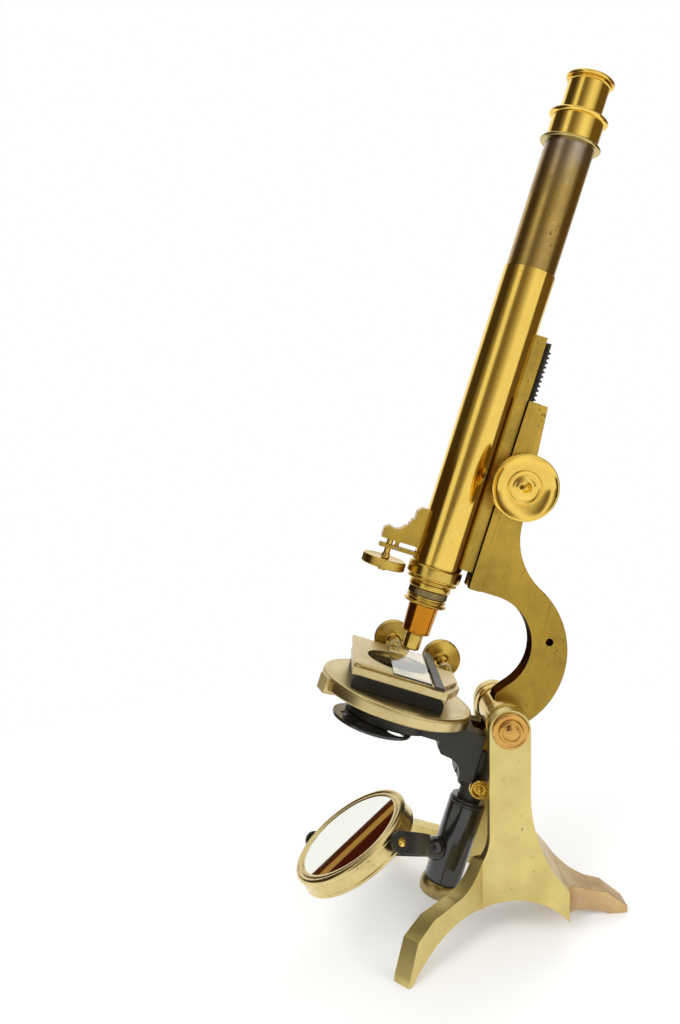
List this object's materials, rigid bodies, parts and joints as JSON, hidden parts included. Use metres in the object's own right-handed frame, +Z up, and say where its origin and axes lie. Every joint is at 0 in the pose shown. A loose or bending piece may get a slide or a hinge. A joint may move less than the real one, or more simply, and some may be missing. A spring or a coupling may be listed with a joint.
{
  "type": "monocular microscope",
  "caption": "Inclining brass monocular microscope with bow limb, rack focusing, lever fine focus, round mechanical stage and gimballed mirror on a three-toed stand.",
  "frame": {"origin": "middle of the box around the part in the pose shown, on the table", "axes": "+Z up, +X towards the rear foot, -Y towards the near side"},
  "size_m": [0.2248, 0.1802, 0.5571],
  "materials": {
    "lacquered_brass": "polished, clear lacquer",
    "satin_brass": "satin",
    "coppery_lacquer": "polished, reddish lacquer",
    "dark_bronze": "satin",
    "black_enamel": "gloss",
    "patinated_brass": "worn, grey-purple tarnish",
    "steel": "satin",
    "lens_glass": "polished",
    "mirror_glass": "polished"
  },
  "bodies": {
    "stand": {"near_upright": "satin_brass", "far_upright": "satin_brass", "rear_foot": "satin_brass", "trunnion_pin": "steel", "trunnion_caps": "coppery_lacquer"},
    "limb": {"limb": "satin_brass", "barrel_collars": "lacquered_brass", "stage_bracket": "dark_bronze", "tail_stem": "dark_bronze", "wheel_screw": "steel"},
    "tube": {"body_tube": "lacquered_brass", "slide_bar": "satin_brass", "rack": "dark_bronze", "nose_collar": "lacquered_brass", "fine_block": "satin_brass", "lever_pin": "steel"},
    "pinion": {"coarse_pinion": "steel", "coarse_heads": "lacquered_brass"},
    "draw": {"draw_tube": "patinated_brass", "draw_collar": "lacquered_brass", "eyepiece_holder": "lacquered_brass"},
    "eyepiece": {"eyepiece_barrel": "lacquered_brass", "eyepiece_cap": "lacquered_brass", "eye_lens": "lens_glass", "field_lens": "lens_glass", "field_stop": "black_enamel"},
    "fine_screw": {"fine_head": "lacquered_brass"},
    "lever": {"fine_lever": "satin_brass"},
    "nosepiece": {"nose_tube": "lacquered_brass", "objective_mount": "lacquered_brass", "objective_barrel": "coppery_lacquer", "objective_tip": "lacquered_brass", "front_lens": "lens_glass", "back_lens": "lens_glass"},
    "stage": {"stage_plate": "satin_brass", "stage_grip": "satin_brass", "stage_ring": "steel", "stage_block": "dark_bronze"},
    "x_plate": {"lower_plate": "satin_brass"},
    "x_knob": {"right_head": "lacquered_brass"},
    "y_plate": {"upper_plate": "satin_brass", "glass_slip": "lens_glass"},
    "y_knob": {"left_head": "lacquered_brass"},
    "clip": {"slip_clip": "dark_bronze"},
    "wheel": {"aperture_wheel": "dark_bronze"},
    "clamp": {"tail_clamp_screw": "coppery_lacquer"},
    "tail_slide": {"sleeve_liner": "lacquered_brass"},
    "sleeve": {"mirror_sleeve": "black_enamel", "ball_socket": "dark_bronze"},
    "fork": {"ball_stud": "steel", "mirror_fork": "dark_bronze", "fork_screws": "lacquered_brass"},
    "mirror": {"mirror_cell": "lacquered_brass", "plane_glass": "mirror_glass", "concave_glass": "mirror_glass"}
  },
  "joints": [
    {"name": "limb_tilt", "type": "hinge", "parent": "stand", "child": "limb", "pos_m": [0.0271, 0, 0.1384], "axis": [0, 1, 0], "range_deg": [-8, 72.1]},
    {"name": "coarse_slide", "type": "slide", "parent": "limb", "child": "tube", "axis": [0.3074, 0, 0.9516], "range_m": [-0.009, 0.045]},
    {"name": "coarse_turn", "type": "hinge", "parent": "limb", "child": "pinion", "pos_m": [0.03671, 0, 0.29398], "axis": [0, 1, 0], "range_deg": [-95, 470]},
    {"name": "draw_slide", "type": "slide", "parent": "tube", "child": "draw", "axis": [0.3074, 0, 0.9516], "range_m": [-0.078, 0.015]},
    {"name": "eyepiece_slide", "type": "slide", "parent": "draw", "child": "eyepiece", "axis": [0.3074, 0, 0.9516], "range_m": [0, 0.03]},
    {"name": "fine_turn", "type": "hinge", "parent": "tube", "child": "fine_screw", "pos_m": [-0.05136, 0, 0.24361], "axis": [0.3074, 0, 0.9516], "range_deg": [-540, 540]},
    {"name": "lever_tilt", "type": "hinge", "parent": "tube", "child": "lever", "pos_m": [-0.04307, 0, 0.25301], "axis": [0, 1, 0], "range_deg": [-2.6, 2.6]},
    {"name": "nose_slide", "type": "slide", "parent": "tube", "child": "nosepiece", "axis": [0.3074, 0, 0.9516], "range_m": [-0.00073, 0.00073]},
    {"name": "stage_turn", "type": "hinge", "parent": "limb", "child": "stage", "pos_m": [-0.04271, 0, 0.15748], "axis": [0.3074, 0, 0.9516], "range_deg": [-10, 35]},
    {"name": "stage_x", "type": "slide", "parent": "stage", "child": "x_plate", "axis": [0.9516, 0, -0.3074], "range_m": [-0.008, 0.008]},
    {"name": "x_knob_turn", "type": "hinge", "parent": "x_plate", "child": "x_knob", "pos_m": [-0.00659, 0.0635, 0.16032], "axis": [0, 1, 0], "range_deg": [-93, 93]},
    {"name": "stage_y", "type": "slide", "parent": "x_plate", "child": "y_plate", "axis": [0, 1, 0], "range_m": [-0.008, 0.008]},
    {"name": "y_knob_turn", "type": "hinge", "parent": "y_plate", "child": "y_knob", "pos_m": [-0.042, 0.0635, 0.17596], "axis": [0, 1, 0], "range_deg": [-288, 288]},
    {"name": "clip_slide", "type": "slide", "parent": "y_plate", "child": "clip", "axis": [0.9516, 0, -0.3074], "range_m": [0, 0.004]},
    {"name": "wheel_turn", "type": "hinge", "parent": "limb", "child": "wheel", "pos_m": [-0.06073, -0.0153, 0.13945], "axis": [0.3074, 0, 0.9516], "continuous": true},
    {"name": "clamp_turn", "type": "hinge", "parent": "limb", "child": "clamp", "pos_m": [0.0095, -0.018, 0.09301], "axis": [0, -1, 0], "range_deg": [-180, 180]},
    {"name": "tail_slide", "type": "slide", "parent": "limb", "child": "tail_slide", "axis": [0.3074, 0, 0.9516], "range_m": [-0.003, 0.008]},
    {"name": "sleeve_swing", "type": "hinge", "parent": "tail_slide", "child": "sleeve", "pos_m": [-0.00476, 0, 0.04886], "axis": [0.3074, 0, 0.9516], "range_deg": [-55, 8]},
    {"name": "fork_roll", "type": "hinge", "parent": "sleeve", "child": "fork", "pos_m": [-0.02188, -0.00908, 0.04829], "axis": [-0.813, -0.4903, 0.3139], "range_deg": [-120, 60]},
    {"name": "mirror_turn", "type": "hinge", "parent": "fork", "child": "mirror", "pos_m": [-0.074, -0.04051, 0.06842], "axis": [0.5783, -0.7425, 0.338], "range_deg": [-180, 180]}
  ],
  "couplings": [
    {"joint": "coarse_turn", "follows": "coarse_slide", "rad_per_m": 181.82},
    {"joint": "fine_turn", "follows": "nose_slide", "rad_per_m": 12750},
    {"joint": "lever_tilt", "follows": "nose_slide", "rad_per_m": -58.651},
    {"joint": "x_knob_turn", "follows": "stage_x", "rad_per_m": 200},
    {"joint": "y_knob_turn", "follows": "stage_y", "rad_per_m": 625}
  ]
}
